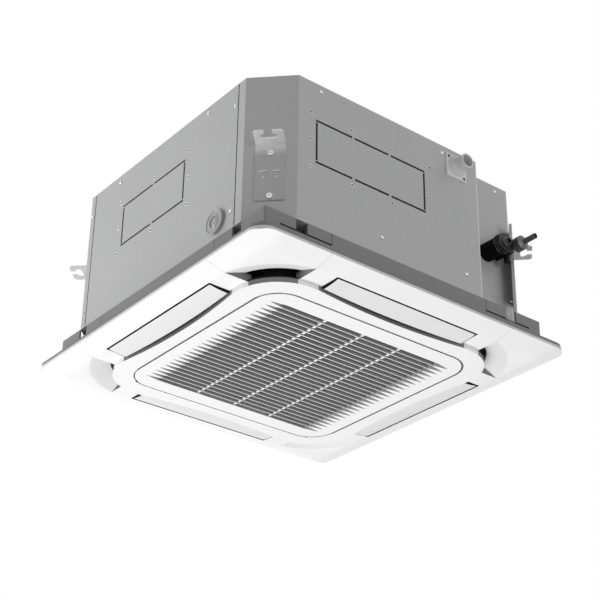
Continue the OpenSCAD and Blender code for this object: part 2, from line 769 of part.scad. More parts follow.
module motor_feet() color([0.12, 0.12, 0.12]) seat() for (a = [0, 120, 240]) rotate([0, 0, a])
    translate([feet_at, 0, motor_z + motor_h * 0.7 + fan_wall])
        cylinder(r = feet_r, h = body_top - sheet_t - motor_z - motor_h * 0.7 - fan_wall);

bell_t = 2;
bell_edge = 14;
bell_in = flare_r + bell_edge;
bell_lip = 4;
bell_h = pan_h + bell_lip;
module bell_mouth() color([0.86, 0.86, 0.86]) seat() {
    slab(body_z - bell_t, bell_t) difference() { rsq(bell_in, grille_r); circle(flare_r - bell_t); }
    r = flare_r - throat_r;
    steps = 12;
    arc = [for (i = [0:steps]) i * 90 / steps];
    translate([0, 0, body_z - bell_t]) rotate_extrude() polygon(concat(
        [for (a = arc) [flare_r - r * sin(a), bell_h * (1 - cos(a))]],
        [for (a = arc) let (b = 90 - a) [flare_r - r * sin(b) + bell_t * sin(b),
            bell_h * (1 - cos(b)) + bell_t * cos(b)]]));
}

box_in = 50;
box_y0 = bell_in - box_in;
box_w = 156;
box_h = 36;
box_t = 1.5;
box_d = 46;
module control_box() color([0.6, 0.6, 0.6]) seat() difference() {
    translate([-box_w / 2, box_y0, body_z - bell_t - box_h]) cube([box_w, box_d, box_h]);
    translate([-box_w / 2 + box_t, box_y0 + box_t, body_z - bell_t - box_h - over])
        cube([box_w - 2 * box_t, box_d - 2 * box_t, box_h + over - box_t]);
}
module control_lid() color([0.68, 0.68, 0.68]) seat()
    translate([-box_w / 2, box_y0, body_z - bell_t - box_h - box_t]) cube([box_w, box_d, box_t]);

module duct_seal() color([0.08, 0.08, 0.08]) seat()
    slab(skin_t, body_z - skin_t) difference() {
        rsq(frame_in + seal_t, grille_r + seal_t);
        rsq(frame_in, grille_r);
    }

// ---- ceiling panel ----
slope = rim_z / (panel_w - flat_w) * 2;
module above(h, lift, top) {
    f = flat_w / 2;
    z = lift + slope * (h - f);
    for_both() linear_extrude(2 * h, center = true)
        polygon([[-h, z], [-f, lift], [f, lift], [h, z], [h, top], [-h, top]]);
}
module for_both() intersection() {
    rotate([90, 0, 0]) children();
    rotate([90, 0, 90]) children();
}
module moulding() difference() {
    intersection() {
        above(hp, 0, rim_top);
        linear_extrude(rim_top) rsq(hp, rim_r);
    }
    intersection() {
        above(hp - skin_t, skin_t, rim_top + over);
        linear_extrude(rim_top + over) rsq(hp - skin_t, rim_r - skin_t);
    }
}
module ring2d(d) difference() {
    rsq(ring_w / 2 - d, ring_r - d);
    sides() translate([ring_w / 2 - scoop + scoop_R - d, 0]) circle(scoop_R, $fn = 360);
}
module opening2d() sides() translate([ring_in, -opening_l / 2])
    square([opening_out - ring_in, opening_l]);
module corner_field(d) for (x = [-1, 1], y = [-1, 1])
    translate([x * (cover_seam + d + hp / 2), y * (cover_seam + d + hp / 2)])
        square(hp, center = true);

module panel_frame() color([0.95, 0.95, 0.95]) seat() difference() {
    union() {
        difference() {
            moulding();
            slab(-over, rim_top + 2 * over) {
                difference() {
                    union() { opening2d(); corner_field(0); }
                    ring2d(0);
                }
                rsq(frame_in, grille_r);
            }
        }
        // collars round the louver openings
        slab(skin_t / 2, collar_h) sides() difference() {
            translate([louver_in + scoop, -opening_l / 2 - collar_t])
                square([opening_out + collar_t - louver_in - scoop, opening_l + 2 * collar_t]);
            translate([ring_in, -opening_l / 2]) square([opening_out - ring_in, opening_l]);
        }
        // end walls of the corner outlets
        slab(0, rim_top) difference() {
            sides() for (s = [-1, 1]) translate([ring_w / 2 - scoop, s * cover_seam
                - (s > 0 ? collar_t : 0)]) square([opening_out - ring_w / 2 + scoop, collar_t]);
        }
    }
    sides() translate([louver_axis, 0, louver_axis_z]) rotate([90, 0, 0])
        cylinder(d = louver_pin_d + 2 * run_gap, h = opening_l + 3 * collar_t, center = true,
            $fn = fine);
}

// The ring is relieved at two corners, where the grille's edge swings past it
relief_low = hinge_in - (pow(hinge_rise, 2) - pow(grille_gap, 2)) / (2 * grille_gap) - 2 * seat_gap;
relief_high = hinge_in + hinge_rise + seat_gap;
relief_top = hinge_rise + hinge_in - relief_low + 2 * seat_gap;
function arc_rise(u) = sqrt(2 * grille_r * u - u * u);
module centre_ring() color([0.96, 0.96, 0.96]) seat() difference() {
    slab(-ring_drop, ring_drop) difference() { ring2d(0); rsq(ring_in, grille_r + grille_gap); }
    y0 = gh - grille_r + arc_rise(relief_low);
    y1 = gh - grille_r + arc_rise(relief_high);
    for (s = [-1, 1]) translate([hinge_x - hinge_rise - 2 * seat_gap,
        s * (y0 + y1) / 2 - (y1 - y0) / 2, -ring_drop - over])
            cube([2 * hinge_rise + 4 * seat_gap, y1 - y0, relief_top + over]);
}

// Corner cover with the sloped surface of its outlet
module cover(k) color([0.95, 0.95, 0.95]) seat() rotate([0, 0, k * 90]) intersection() {
    union() {
        difference() {
            moulding();
            translate([outlet_c, -outlet_c, -over]) cylinder(r = outlet_r, h = rim_top + 2 * over);
        }
        translate([outlet_c, -outlet_c, 0]) rotate_extrude() polygon([
            [outlet_r - outlet_run, outlet_rise], [outlet_r, 0], [outlet_r + skin_t, 0],
            [outlet_r + skin_t, skin_t * 0.8],
            [outlet_r - outlet_run + skin_t, outlet_rise + skin_t * 0.75],
            [outlet_r - outlet_run + skin_t, gasket_top],
            [outlet_r - outlet_run, gasket_top]]);
    }
    translate([cover_seam + seat_gap, -hp - cover_seam - seat_gap, -over])
        cube([hp, hp, gasket_top + 2 * over]);
}

gasket_in = 1;
module ceiling_gasket() color([0.6, 0.6, 0.6]) seat() slab(rim_top, gasket_h) difference() {
    rsq(hp - gasket_in, rim_r - gasket_in);
    rsq(flange_w / 2 + seat_gap, flange_r + seat_gap);
}

flange_r = 12;
upstand_r = 3;
module panel_upstand() color([0.55, 0.55, 0.55]) seat() {
    slab(rim_top, flange_top - upstand_t - rim_top) difference() {
        rsq(flange_w / 2, flange_r);
        rsq(flange_w / 2 - upstand_t, flange_r - upstand_t);
    }
    slab(flange_top - upstand_t, upstand_t) difference() {
        rsq(flange_w / 2, flange_r);
        rsq(upstand_w / 2 - upstand_t, upstand_r);
    }
    difference() {
        slab(flange_top, body_z - flange_top) difference() {
            rsq(upstand_w / 2, upstand_r);
            square(upstand_w - 2 * upstand_t, center = true);
        }
        sides() for (s = [-1, 1]) {
            translate([upstand_w / 2 - 2 * upstand_t, s * (notch_from + notch_to) / 2
                - (notch_to - notch_from) / 2, block_z + block_gap])
                cube([3 * upstand_t, notch_to - notch_from, body_z]);
            translate([upstand_w / 2 - block_groove, s * (block_from + block_end) / 2
                - (block_end - block_from) / 2, block_z])
                cube([3 * upstand_t, block_end - block_from, block_gap]);
            translate([upstand_w / 2 - block_groove, s * block_from - block_gap / 4,
                block_z]) cube([3 * upstand_t, block_gap / 2, body_z]);
        }
    }
}

// ---- louvers ----
module louver_side() {
    w = louver_out - louver_in;
    a = louver_drop / w;
    n = 12;
    bottom = [for (i = [0:n]) let (u = i / n) [louver_in + w * u,
        -louver_drop * (1 - u) - 4 * louver_sag * u * (1 - u)]];
    top = [for (i = [0:n]) let (u = 1 - i / n) [louver_in + w * u,
        -louver_drop * (1 - u) - 4 * louver_sag * u * (1 - u)
        + louver_t * (0.45 + 2.2 * u * (1 - u))]];
    polygon(concat(bottom, top));
}
module louver(a) color([0.88, 0.88, 0.88]) seat() rotate([0, 0, a]) {
    intersection() {
        rotate([90, 0, 0]) linear_extrude(louver_l, center = true) louver_side();
        linear_extrude(6 * louver_t, center = true) intersection() {
            translate([louver_in, -louver_l / 2]) square([louver_out - louver_in, louver_l]);
            translate([louver_in + bow_R, 0]) circle(bow_R, $fn = 360);
        }
    }
    for (s = [-1, 1]) translate([louver_axis, 0, louver_axis_z]) rotate([90 * s, 0, 0]) {
        translate([0, 0, louver_l / 2 - disc_t])
            cylinder(r = louver_axis_z + louver_t * disc_seat_share, h = disc_t, $fn = fine);
        translate([0, 0, louver_l / 2 - disc_t])
            cylinder(d = louver_pin_d, h = disc_t + louver_gap + collar_t - seat_gap,
                $fn = fine);
    }
}
module louver_motors() color([0.75, 0.75, 0.72]) seat() sides() {
    translate([louver_axis, -opening_l / 2 - collar_t - motor_body_l, louver_axis_z + motor_off])
        rotate([-90, 0, 0]) cylinder(r = motor_body_r, h = motor_body_l);
    translate([louver_axis - motor_body_r / 2, -opening_l / 2 - collar_t - motor_body_l / 3,
        skin_t + seat_gap])
            cube([motor_body_r, motor_body_l / 3, louver_axis_z + motor_off - skin_t]);
}

// ---- intake grille ----
gh = grille_w / 2;
grille_low = -ring_drop;
slot_half = slot_n * slot_pitch / 2;
module slot2d(k) {
    w = slot_w / 2;
    l = slot_l / 2;
    t = l + tip_l;
    translate([(k - (slot_n - 1) / 2) * slot_pitch, 0]) polygon([[-w, -l], [-w * groove_tip_share,
        -t], [w * groove_tip_share, -t], [w, -l], [w, l], [w * groove_tip_share, t],
        [-w * groove_tip_share, t], [-w, l]]);
}
module slat2d(h) {
    w = (slot_pitch - slot_w) / 2;
    polygon([[-w, 0], [w, 0], [w - slat_lean * h / slat_h, h],
        [-w * 0.2 - slat_lean * h / slat_h, h]]);
}
module grille() color([0.96, 0.96, 0.96]) seat() difference() {
    union() {
        difference() {
            union() {
                slab(grille_low, plate_t) rsq(gh, grille_r);
                for (s = [-1, 1]) translate([-slot_half - slot_w / 2, s * (slot_l / 2
                    + end_block_l / 2) - end_block_l / 2, grille_low])
                        cube([2 * slot_half + slot_w, end_block_l, groove_h + plate_t / 2]);
            }
            translate([-slot_half, -slot_l / 2, grille_low - over])
                cube([2 * slot_half, slot_l, slat_h]);
            // pointed, sloping ends of the slots
            for (s = [-1, 1]) intersection() {
                slab(grille_low - over, groove_h + 2 * over)
                    for (k = [0:slot_n - 1]) slot2d(k);
                scale([1, s, 1]) rotate([90, 0, 90]) translate([0, 0, -gh])
                    linear_extrude(2 * gh) polygon([[slot_l / 2 - over, grille_low - over],
                        [slot_l / 2 + tip_l * 1.08, grille_low - over],
                        [slot_l / 2 + tip_l, grille_low],
                        [slot_l / 2 + tip_l * groove_run_share, grille_low + groove_h],
                        [slot_l / 2 - over, grille_low + groove_h]]);
            }
        }
        for (k = [0:slot_n]) translate([(k - slot_n / 2) * slot_pitch, slot_l / 2 + plate_t / 4,
            grille_low]) rotate([90, 0, 0]) linear_extrude(slot_l + plate_t / 2) slat2d(slat_h);
        for (k = [-1:1]) translate([-slot_half, k * rib_pitch - rib_w / 2,
            grille_low + rib_sunk]) cube([2 * slot_half, rib_w, slat_h * 0.8 - rib_sunk]);
        slab(grille_low, plate_t + lip_h) difference() {
            rsq(gh - lip_in, grille_r - lip_in);
            rsq(gh - lip_in - lip_t, grille_r - lip_in - lip_t);
        }
        for (s = [-1, 1]) translate([gh - catch_in, s * catch_y - post_w / 2, grille_low])
            cube([post_w / 2, post_w, catch_h]);
        for (s = [-1, 1]) translate([hinge_x - hinge_eye_r, s * hinge_y - hinge_eye_l / 2
            - knuckle_l, grille_low]) cube([2 * hinge_eye_r, hinge_eye_l + 2 * knuckle_l,
                hinge_rise + hinge_eye_r]);
    }
    for (s = [-1, 1]) translate([hinge_x, s * hinge_y, hinge_z]) rotate([90, 0, 0])
        cylinder(r = hinge_eye_r + pocket_gap, h = hinge_eye_l + 2 * pocket_gap, center = true,
            $fn = fine);
    for (s = [-1, 1]) translate([hinge_x - hinge_eye_r - over, s * hinge_y - hinge_eye_l / 2
        - pocket_gap, hinge_z]) cube([2 * hinge_eye_r + 2 * over, hinge_eye_l + 2 * pocket_gap,
            3 * hinge_eye_r]);
    for (s = [-1, 1]) translate([-gh - over, s * hinge_y - hinge_eye_l / 2 - pocket_gap,
        hinge_z - hinge_arm_back - pocket_gap]) cube([hinge_in + over,
            hinge_eye_l + 2 * pocket_gap, 3 * hinge_eye_r]);
    for (s = [-1, 1]) translate([hinge_x, s * hinge_y, hinge_z]) rotate([90, 0, 0])
        cylinder(r = hinge_pin_r + run_gap / 2, h = hinge_eye_l + 2 * knuckle_l + over,
            center = true, $fn = fine);
}
hinge_x = -gh + hinge_in;
hinge_z = grille_low + hinge_rise;
hinge_y = grille_w * hinge_at_share;
hinge_arm_back = 0.5;
hinge_top = hinge_z + hinge_in + hinge_rise + skin_t - 2 * seat_gap;
module hinge_pins() color([0.7, 0.7, 0.7]) seat() for (s = [-1, 1])
    translate([hinge_x, s * hinge_y, hinge_z]) rotate([90, 0, 0])
        cylinder(r = hinge_pin_r, h = hinge_eye_l + 2 * knuckle_l, center = true, $fn = fine);
module hinge_brackets() color([0.9, 0.9, 0.9]) seat() for (s = [-1, 1])
    translate([hinge_x, s * hinge_y, 0]) difference() {
        union() {
            translate([0, 0, hinge_z]) rotate([90, 0, 0])
                cylinder(r = hinge_eye_r, h = hinge_eye_l, center = true, $fn = fine);
            translate([-hinge_arm_back, -hinge_eye_l / 2, hinge_z])
                cube([hinge_arm_back + hinge_eye_r, hinge_eye_l, hinge_top - hinge_z]);
            translate([-frame_in - hinge_x, -hinge_eye_l / 2, hinge_top - skin_t])
                cube([frame_in + hinge_x + hinge_eye_r, hinge_eye_l, skin_t]);
            translate([-frame_in - hinge_x, -hinge_eye_l / 2, 0])
                cube([frame_in - ring_in - seat_gap * 2, hinge_eye_l, hinge_top]);
        }
        translate([0, 0, hinge_z]) rotate([90, 0, 0])
            cylinder(r = hinge_pin_r + run_gap, h = hinge_eye_l + 2 * over, center = true,
                $fn = fine);
    }

filter_z = grille_low + slat_h;
module filter_frame() color([0.85, 0.85, 0.85]) seat() slab(filter_z, filter_t) difference() {
    h = gh - filter_in;
    square(2 * h, center = true);
    for (i = [-1, 1], j = [-1, 1]) translate([i * h / 2, j * h / 2])
        square(h - filter_bar * 2, center = true);
}
module filter_mesh() color([0.3, 0.35, 0.4]) seat() slab(filter_z + filter_t, mesh_t)
    square(2 * (gh - filter_in), center = true);

// ---- push latches ----
latch_r = 4;
latch_h = 16;
latch_travel = 4;
latch_wall = 3;
latch_x = gh - catch_in + post_w / 4;
latch_z = grille_low + catch_h + seat_gap;
module latch_housings() color([0.85, 0.85, 0.85]) seat() for (s = [-1, 1]) difference() {
    z0 = latch_z + latch_travel * 3 / 2 + seat_gap;
    union() {
        translate([latch_x, s * catch_y, z0])
            cylinder(r = latch_r + latch_wall, h = latch_h + latch_wall, $fn = fine);
        translate([latch_x, s * catch_y - latch_wall, z0])
            cube([frame_in - latch_x, 2 * latch_wall, latch_h + latch_wall]);
    }
    translate([latch_x, s * catch_y, z0 - over])
        cylinder(r = latch_r + run_gap, h = latch_h + over, $fn = fine);
}
module latch(s) color([0.9, 0.9, 0.9]) seat() translate([latch_x, s * catch_y, latch_z]) {
    cylinder(r = latch_r, h = latch_h - latch_travel, $fn = fine);
    cylinder(r = latch_r + latch_wall / 2, h = latch_travel / 2, $fn = fine);
}

top_plate();
front_panel();
right_panel();
left_panel();
back_panel();
pipe_panel();
pipe_post();
bracket(0);  // bracket_front_right
bracket(3);  // bracket_front_left
bracket(2);  // bracket_back_left
bracket(1);  // bracket_back_right
bracket_screws();
gland();
drain_port();
gas_pipe();
liquid_pipe();
gas_nut();
liquid_nut();
pipe_foam();
drain_pan();
drain_pump();
drain_hose();
float_stem();
float_ball();
coil_fins();
coil_plates();
coil_headers();
fan_motor();
motor_feet();
turbo_fan();
fan_shroud();
fan_shaft();
bell_mouth();
control_box();
control_lid();
duct_seal();
panel_frame();
centre_ring();
cover(0);  // cover_front_right
cover(3);  // cover_front_left
cover(2);  // cover_back_left
cover(1);  // cover_back_right
ceiling_gasket();
panel_upstand();
louver(270);  // louver_front
louver(0);  // louver_right
louver(90);  // louver_back
louver(180);  // louver_left
louver_motors();
hinge_brackets();
grille();
hinge_pins();
filter_frame();
filter_mesh();
latch_housings();
latch(-1);  // latch_left
latch(1);  // latch_right
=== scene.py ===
import json
from math import cos, pi, radians, sin

import bmesh
import bpy
from mathutils import Matrix, Vector


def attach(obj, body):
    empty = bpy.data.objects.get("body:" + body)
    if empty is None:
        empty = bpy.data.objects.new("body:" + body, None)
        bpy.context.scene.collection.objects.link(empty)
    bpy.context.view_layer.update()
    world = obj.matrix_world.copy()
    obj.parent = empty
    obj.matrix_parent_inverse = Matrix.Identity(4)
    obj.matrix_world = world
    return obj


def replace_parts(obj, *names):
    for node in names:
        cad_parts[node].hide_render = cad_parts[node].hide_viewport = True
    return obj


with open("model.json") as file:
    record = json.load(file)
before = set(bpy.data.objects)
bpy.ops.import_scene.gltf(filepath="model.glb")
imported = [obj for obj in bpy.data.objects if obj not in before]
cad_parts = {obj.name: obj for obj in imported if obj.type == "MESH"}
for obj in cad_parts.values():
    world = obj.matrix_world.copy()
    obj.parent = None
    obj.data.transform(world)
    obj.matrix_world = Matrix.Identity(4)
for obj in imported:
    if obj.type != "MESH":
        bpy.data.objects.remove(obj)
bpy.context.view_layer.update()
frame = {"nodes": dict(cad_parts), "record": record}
nodes = frame["nodes"]
body_of = {n: b for b, ns in frame["record"]["behaviour"]["bodies"].items() for n in ns}


# Casing sheets
# Matt zinc-coated steel sheet, cut, folded at the corners and screwed together: a top plate,
# four walls, the sheet of the pipe recess and the frame round the bracket there.
class Wire:
    """One value in a node tree. Sums and products of it add Math nodes."""

    def __init__(self, tree, socket):
        self.tree, self.socket = tree, socket

    def maths(self, operation, a, b, clamp=False):
        return self.tree.add("ShaderNodeMath", {"operation": operation, "use_clamp": clamp},
                             {0: a, 1: b})

    def __add__(self, other):
        return self.maths("ADD", self, other)

    def __sub__(self, other):
        return self.maths("SUBTRACT", self, other)

    def __mul__(self, other):
        return self.maths("MULTIPLY", self, other)

    def __truediv__(self, other):
        return self.maths("DIVIDE", self, other)

    def within(self, low, high):
        """Runs from 0 to 1 while the value runs from low to high."""
        return self.maths("MULTIPLY", self - low, 1 / (high - low), clamp=True)


class Tree:
    """A node tree that grows one node at a time."""

    def __init__(self, tree):
        self.tree = tree

    def add(self, kind, settings=None, sockets=None, out=0):
        node = self.tree.nodes.new(kind)
        for key, value in (settings or {}).items():
            setattr(node, key, value)
        for key, value in (sockets or {}).items():
            for wire in value if isinstance(value, list) else [value]:
                if isinstance(wire, Wire):
                    self.tree.links.new(wire.socket, node.inputs[key])
                else:
                    node.inputs[key].default_value = wire
        return Wire(self, node.outputs[out])


class Finish(Tree):
    """A material: its shader's plain values, and what changes over the surface."""

    def __init__(self, name, **plain):
        self.material = bpy.data.materials.new(name)
        self.material.use_nodes = True
        super().__init__(self.material.node_tree)
        self.shader = self.tree.nodes["Principled BSDF"]
        self.place = self.add("ShaderNodeTexCoord", out="Object")
        self.axes = [self.add("ShaderNodeSeparateXYZ", {}, {0: self.place}, i)
                     for i in range(3)]
        for key, value in plain.items():
            self.shader.inputs[key.replace("_", " ").title()].default_value = value

    def feed(self, **sockets):
        for key, wire in sockets.items():
            self.tree.links.new(wire.socket, self.shader.inputs[key.replace("_", " ").title()])

    def grain(self, size, detail=3):
        """Noise from 0 to 1 with lumps of that size, in metres."""
        return self.add("ShaderNodeTexNoise", {}, {
            "Vector": self.place, "Scale": 1 / size, "Detail": detail}, "Fac")

    def cells(self, size):
        """A random value from 0 to 1 for each crystal-like cell of that size."""
        cell = self.add("ShaderNodeTexVoronoi", {}, {
            "Vector": self.place, "Scale": 1 / size}, "Color")
        return self.add("ShaderNodeSeparateColor", {}, {0: cell})

    def blend(self, amount, low, high):
        sockets = {"Factor": amount}
        for key, shade in ((6, low), (7, high)):
            sockets[key] = shade if isinstance(shade, Wire) else (*shade, 1)
        return self.add("ShaderNodeMix", {"data_type": "RGBA"}, sockets, 2)

    def bump(self, height, depth):
        return self.add("ShaderNodeBump", {}, {"Height": height, "Distance": depth})


def grey(value, warm=0.0):
    """A linear colour from a grey of 0 to 255 as it shows on a screen."""
    screen_gamma = 2.2
    c = (value / 255) ** screen_gamma
    return (c * (1 + warm), c, c * (1 - warm))


# How far the face plane lies below the ears' underside, where the scene has its origin.
face_drop = 200


def at(x, y, z):
    """A place in millimetres, with heights counted from the face plane, in scene metres."""
    return Vector((x / 1000, y / 1000, (z - face_drop) / 1000))


def from_face(spot):
    """The other way round: a place in scene metres, in millimetres from the face plane."""
    return spot * 1000 + Vector((0, 0, face_drop))


def shown(piece, finishes, body):
    """Puts a new piece in the scene with its finishes, on its body."""
    bpy.context.scene.collection.objects.link(piece)
    for finish in finishes:
        piece.data.materials.append(finish.material)
    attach(piece, body)
    return piece


crease, rounded_crease = 11, 32


def softened(names, finishes, rounded=None, lined=None, cuts=(), flat=False,
             creased=lambda p: crease, crown=None):
    """Copies of CAD pieces that stand for them. rounded says which edges are rounded, by the
    least and the greatest angle that they turn, and how wide, in millimetres. After cuts along
    some planes, lined() gives the number of a face's finish, and creased() the angle above
    which an edge stays sharp. crown() gives the shading of a smooth crown."""
    for name in names:
        form = bmesh.new()
        form.from_mesh(nodes[name].data)
        bmesh.ops.remove_doubles(form, verts=form.verts, dist=0.000002)
        if flat:
            bmesh.ops.dissolve_limit(form, angle_limit=radians(0.5), verts=form.verts,
                                     edges=form.edges)
        for place, way in cuts:
            bmesh.ops.bisect_plane(form, geom=form.verts[:] + form.edges[:] + form.faces[:],
                                   plane_co=place, plane_no=way)
        form.normal_update()
        for face in form.faces:
            face.smooth = True
            if lined:
                middle = from_face(face.calc_center_median())
                face.material_index = int(lined(middle, face.normal))
        if rounded:
            least, greatest, width = rounded
            chosen = [edge for edge in form.edges
                      if radians(least) < edge.calc_face_angle(0) < radians(greatest)]
            bmesh.ops.bevel(form, geom=chosen, offset=width / 1000, offset_type="OFFSET",
                            segments=3, profile=0.5, clamp_overlap=False, loop_slide=True)
            form.normal_update()
        for edge in form.edges:
            middle = from_face((edge.verts[0].co + edge.verts[1].co) / 2)
            limit = rounded_crease if rounded else creased(middle)
            if edge.calc_face_angle(0) > radians(limit):
                edge.smooth = False
        data = bpy.data.meshes.new(name + "_form")
        form.to_mesh(data)
        form.free()
        piece = bpy.data.objects.new(name + "_piece", data)
        if crown:
            data.normals_split_custom_set([
                crown(from_face(data.vertices[data.loops[k].vertex_index].co), face)
                or data.corner_normals[k].vector
                for face in data.polygons for k in face.loop_indices])
        else:
            piece.modifiers.new("even_shading", "WEIGHTED_NORMAL").keep_sharp = True
        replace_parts(shown(piece, finishes, body_of[name]), name)


zinc = Finish("zinc_sheet", metallic=0.12)
flecks = zinc.cells(0.005) * 0.3 + zinc.grain(0.12, 3) * 0.7
zinc.feed(
    base_color=zinc.blend(flecks, grey(197, -0.004), grey(207, -0.004)),
    roughness=zinc.grain(0.03) * 0.12 + 0.4,
    normal=zinc.bump(zinc.grain(0.0006, 2), 0.000012))
softened(["front_panel", "right_panel", "left_panel", "back_panel", "pipe_panel", "top_plate",
          "pipe_post"], [zinc])


# Screws, pilot holes and seams of the casing
# Small pan-head screws with cross recesses hold the sheets together. Each pilot hole for a duct
# flange has a pressed rim and a black disc in it as painted shade. Black strips behind the seams
# and the duct blanks are painted shade in the gaps, and a thin black strip on two seams is a
# painted shadow line.
class Pattern(Tree):
    """Geometry nodes that lay one small form on many points, each turned its own way."""

    def __init__(self, name, **sizes):
        super().__init__(bpy.data.node_groups.new(name, "GeometryNodeTree"))
        sockets = self.tree.interface
        sockets.new_socket("Points", in_out="INPUT", socket_type="NodeSocketGeometry")
        for key, value in sizes.items():
            made = sockets.new_socket(key, in_out="INPUT", socket_type="NodeSocketFloat")
            made.default_value = value
        sockets.new_socket("Pieces", in_out="OUTPUT", socket_type="NodeSocketGeometry")
        self.given = self.tree.nodes.new("NodeGroupInput")
        self.result = self.tree.nodes.new("NodeGroupOutput")

    def size(self, name):
        return Wire(self, self.given.outputs[name])

    def vector(self, x, y, z):
        return self.add("ShaderNodeCombineXYZ", {}, {0: x, 1: y, 2: z})

    def moved(self, form, by=(0, 0, 0), scale=(1, 1, 1)):
        return self.add("GeometryNodeTransform", {}, {
            "Geometry": form, "Translation": by, "Scale": scale})

    def ball(self, segments, rings, x, y, z, by=(0, 0, 0)):
        """A ball, flattened or drawn out to a radius along each axis."""
        round_form = self.add("GeometryNodeMeshUVSphere", {}, {
            "Segments": segments, "Rings": rings})
        return self.moved(round_form, by, self.vector(x, y, z))

    def circle(self, size, points):
        return self.add("GeometryNodeCurvePrimitiveCircle", {"mode": "RADIUS"}, {
            "Resolution": points, "Radius": self.size(size)})

    def bar(self, path, profile):
        """A bar with that profile, bent along a path."""
        return self.add("GeometryNodeCurveToMesh", {}, {"Curve": path, "Profile Curve": profile})

    def laid(self, form, finish, axis="Z"):
        """Puts the form on the points, with its axis along their attribute called facing."""
        facing = self.add("GeometryNodeInputNamedAttribute", {"data_type": "FLOAT_VECTOR"},
                          {"Name": "facing"})
        turn = self.add("FunctionNodeAlignRotationToVector", {"axis": axis}, {"Vector": facing})
        many = self.add("GeometryNodeInstanceOnPoints", {}, {
            "Points": self.size("Points"), "Instance": form, "Rotation": turn})
        real = self.add("GeometryNodeRealizeInstances", {}, {0: many})
        painted = self.add("GeometryNodeSetMaterial", {}, {
            0: real, "Material": finish.material})
        self.tree.links.new(painted.socket, self.result.inputs[0])

    def make(self, name, places, body, slot, **sizes):
        """Runs the pattern over places, each a point and a direction, as one plain mesh."""
        cloud = bpy.data.meshes.new(name)
        cloud.from_pydata([p for p, way in places], [], [])
        facing = cloud.attributes.new("facing", "FLOAT_VECTOR", "POINT")
        facing.data.foreach_set("vector", [c for p, way in places for c in way])
        piece = bpy.data.objects.new(name, cloud)
        bpy.context.scene.collection.objects.link(piece)
        rows = piece.modifiers.new("rows", "NODES")
        rows.node_group = self.tree
        for socket in self.tree.interface.items_tree:
            if socket.name in sizes:
                rows[socket.identifier] = sizes[socket.name]
        laid = piece.evaluated_get(bpy.context.evaluated_depsgraph_get())
        piece.data = bpy.data.meshes.new_from_object(laid)
        piece.modifiers.clear()
        piece.data.shade_smooth()
        piece.data.set_sharp_from_angle(angle=radians(30))
        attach(piece, body)
        return piece


bright = Finish("bright_zinc", metallic=0.75)
bright.feed(base_color=bright.blend(bright.grain(0.004, 4), grey(214), grey(238)),
            roughness=bright.grain(0.003) * 0.14 + 0.24)
screw_heads = Pattern("screw_heads", radius=0.0035, height=0.0022, slot=0.0007)
head_radius, head_height, slot_width = [
    screw_heads.size(key) for key in ("radius", "height", "slot")]
dome = screw_heads.ball(18, 10, head_radius, head_radius, head_height)
arm_length, arm_middle = head_radius * 1.1, head_height * 1.05
arms = [screw_heads.moved(
    screw_heads.add("GeometryNodeMeshCube", {}, {"Size": screw_heads.vector(*arm, head_height)}),
    by=screw_heads.vector(0, 0, arm_middle))
    for arm in ((arm_length, slot_width), (slot_width, arm_length))]
cross = screw_heads.add("GeometryNodeJoinGeometry", {}, {0: arms})
screw_heads.laid(screw_heads.add("GeometryNodeMeshBoolean", {
    "operation": "DIFFERENCE", "solver": "FLOAT"}, {0: dome, 1: cross}), bright)

# Walls are named by the way they face, and given by their distance from the middle. Along a
# wall, a place is a pair: how far along, and how high above the face plane.
south, east, north, west = [Vector(v) for v in ((0, -1, 0), (1, 0, 0), (0, 1, 0), (-1, 0, 0))]
wall, recess_wall = 285, 252
screw_rows = (98, 315)
casing_screws = (
    [(at(x, -wall, z), south) for x, z in ((-133, 314), (127, 316), (201.6, 289), (199.8, 98),
                                           (-220, 286.5), (-224, 97))]
    + [(at(wall, y, z), east) for y, z in ((-183, 315), (75.3, 312), (-60, 98), (120, 98))]
    + [(at(recess_wall, y, z), east) for y, z in ((231.5, 315.6), (166, 98))]
    + [(at(x, wall, z), north) for x in (-200, -70, 70, 200) for z in screw_rows]
    + [(at(-wall, y, z), west) for y in (-203, -70, 70, 203) for z in screw_rows])
screw_heads.make("casing_screws", casing_screws, "base", "screw_steel")

# Middle and length of each duct blank, and the row of pilot holes at a gap round it.
front_blank, right_blank = (-25.5, 184), (-79, 226.5)
blank_low, blank_high, pilot_gap = 179.5, 259.5, 10.5
blank_middle = (blank_low + blank_high) / 2
pilot_places = []
for (middle, length), count, place, way in (
        (front_blank, 2, lambda u, z: at(u, -wall, z), south),
        (right_blank, 3, lambda u, z: at(wall, u, z), east)):
    for k in range(count + 1):
        u = middle + (k / count - 0.5) * (length + 2 * pilot_gap)
        for z in (blank_low - pilot_gap, blank_high + pilot_gap):
            pilot_places.append((place(u, z), way))
    for side in (-1, 1):
        u = middle + side * (length / 2 + pilot_gap)
        pilot_places.append((place(u, blank_middle), way))

rims = Pattern("pilot_rims", radius=0.0024, thickness=0.0006)
rims.laid(rims.bar(rims.circle("radius", 20), rims.circle("thickness", 8)), bright)
rims.make("pilot_rims", pilot_places, "base", "zinc_sheet")

# Black foam, real on the pipes and the duct seal; the same black is also painted shade in seams,
# holes, grooves, outlets and round the louvers and the grille.
foam_and_shade = Finish("black_foam", roughness=0.9)
foam_and_shade.feed(base_color=foam_and_shade.blend(foam_and_shade.grain(0.0015), grey(16), grey(30)),
          normal=foam_and_shade.bump(foam_and_shade.grain(0.0012, 2), 0.0002))
# Painted shade: a black disc just proud of each pilot hole stands for the shade inside it.
bore_shade = Pattern("pilot_bores", radius=0.0021, proud=0.0004)
bore_shade.laid(bore_shade.moved(
    bore_shade.add("GeometryNodeMeshCircle", {"fill_type": "NGON"}, {
        "Vertices": 24, "Radius": bore_shade.size("radius")}),
    by=bore_shade.vector(0, 0, bore_shade.size("proud"))), foam_and_shade)
bore_shade.make("pilot_bores", pilot_places, "base", "black_foam")


